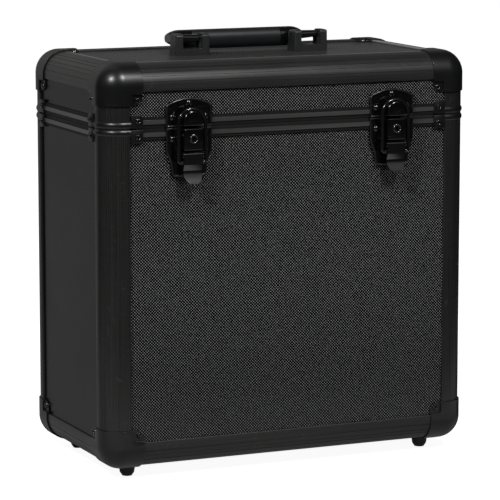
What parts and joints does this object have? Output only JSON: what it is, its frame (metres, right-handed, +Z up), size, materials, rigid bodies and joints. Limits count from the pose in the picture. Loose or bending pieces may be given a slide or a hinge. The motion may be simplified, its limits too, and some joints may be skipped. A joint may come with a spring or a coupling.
{
  "type": "record carrying case",
  "caption": "Black flight case for twelve inch records with aluminium edges, corner caps, draw latches, a hinged lid and a folding handle",
  "frame": {"origin": "centre of the footprint, on the floor under the feet", "axes": "+Z up, -Y towards the front with the latches, +X to the right seen from the front"},
  "size_m": [0.3576, 0.208, 0.3837],
  "materials": {
    "laminate": "satin laminate with a fine silver chequer print",
    "black_aluminium": "black anodised, fine grooves",
    "satin_black_steel": "satin black",
    "black_steel": "gloss black",
    "black_fastener": "gloss black with worn rims",
    "black_rubber": "matte",
    "lining": "short pile"
  },
  "bodies": {
    "body": {"body_front_panel": "laminate", "body_back_panel": "laminate", "body_left_panel": "laminate", "body_right_panel": "laminate", "bottom_panel": "laminate", "body_edge_front_left": "black_aluminium", "body_edge_front_right": "black_aluminium", "body_edge_back_left": "black_aluminium", "body_edge_back_right": "black_aluminium", "bottom_edges": "black_aluminium", "body_rim": "black_aluminium", "bottom_corner_cap_front_left": "satin_black_steel", "bottom_corner_cap_front_right": "satin_black_steel", "bottom_corner_cap_back_left": "satin_black_steel", "bottom_corner_cap_back_right": "satin_black_steel", "body_corner_straps": "satin_black_steel", "body_rivets": "black_fastener", "body_lining": "lining", "feet": "black_rubber", "foot_screws": "black_fastener", "latch_base_left": "black_steel", "latch_base_right": "black_steel", "latch_base_rivets": "black_fastener", "lock_housing_left": "black_steel", "lock_housing_right": "black_steel", "lever_pins": "black_fastener", "hinge_body_leaves": "black_steel", "hinge_pins": "black_fastener"},
    "lid": {"lid_top_panel": "laminate", "lid_front_panel": "laminate", "lid_back_panel": "laminate", "lid_left_panel": "laminate", "lid_right_panel": "laminate", "lid_corner_edges": "black_aluminium", "lid_top_edges": "black_aluminium", "lid_rim": "black_aluminium", "lid_corner_cap_front_left": "satin_black_steel", "lid_corner_cap_front_right": "satin_black_steel", "lid_corner_cap_back_left": "satin_black_steel", "lid_corner_cap_back_right": "satin_black_steel", "lid_corner_straps": "satin_black_steel", "lid_rivets": "black_fastener", "lid_lining": "lining", "latch_keeper_left": "black_steel", "latch_keeper_right": "black_steel", "keeper_rivets": "black_fastener", "hinge_lid_leaves": "black_steel", "handle_bracket_left": "black_steel", "handle_bracket_right": "black_steel", "handle_bracket_screws": "black_fastener", "handle_pins": "black_fastener"},
    "handle": {"handle_frame": "black_steel", "handle_grip": "black_rubber"},
    "lever_left": {"latch_lever_left": "black_steel"},
    "lever_right": {"latch_lever_right": "black_steel"},
    "bail_left": {"latch_bail_left": "black_steel"},
    "bail_right": {"latch_bail_right": "black_steel"},
    "key_left": {"key_plug_left": "black_fastener"},
    "key_right": {"key_plug_right": "black_fastener"}
  },
  "joints": [
    {"name": "lid_hinge", "type": "hinge", "parent": "body", "child": "lid", "pos_m": [0, 0.097, 0.3106], "axis": [-1, 0, 0], "range_deg": [0, 100]},
    {"name": "handle_swing", "type": "hinge", "parent": "lid", "child": "handle", "pos_m": [0, 0.0014, 0.37925], "axis": [1, 0, 0], "range_deg": [0, 190]},
    {"name": "lever_left_pivot", "type": "hinge", "parent": "body", "child": "lever_left", "pos_m": [-0.098, -0.0995, 0.287], "axis": [-1, 0, 0], "range_deg": [0, 100]},
    {"name": "bail_left_pivot", "type": "hinge", "parent": "lever_left", "child": "bail_left", "pos_m": [-0.098, -0.099, 0.2804], "axis": [-1, 0, 0], "range_deg": [-130, 0]},
    {"name": "key_left_turn", "type": "hinge", "parent": "body", "child": "key_left", "pos_m": [-0.098, -0.1024, 0.3012], "axis": [0, 1, 0], "range_deg": [0, 90]},
    {"name": "lever_right_pivot", "type": "hinge", "parent": "body", "child": "lever_right", "pos_m": [0.098, -0.0995, 0.287], "axis": [-1, 0, 0], "range_deg": [0, 100]},
    {"name": "bail_right_pivot", "type": "hinge", "parent": "lever_right", "child": "bail_right", "pos_m": [0.098, -0.099, 0.2804], "axis": [-1, 0, 0], "range_deg": [-130, 0]},
    {"name": "key_right_turn", "type": "hinge", "parent": "body", "child": "key_right", "pos_m": [0.098, -0.1024, 0.3012], "axis": [0, 1, 0], "range_deg": [0, 90]}
  ],
  "couplings": [
    {"joint": "bail_left_pivot", "follows": "lever_left_pivot", "ratio": -1.3},
    {"joint": "bail_right_pivot", "follows": "lever_right_pivot", "ratio": -1.3}
  ]
}
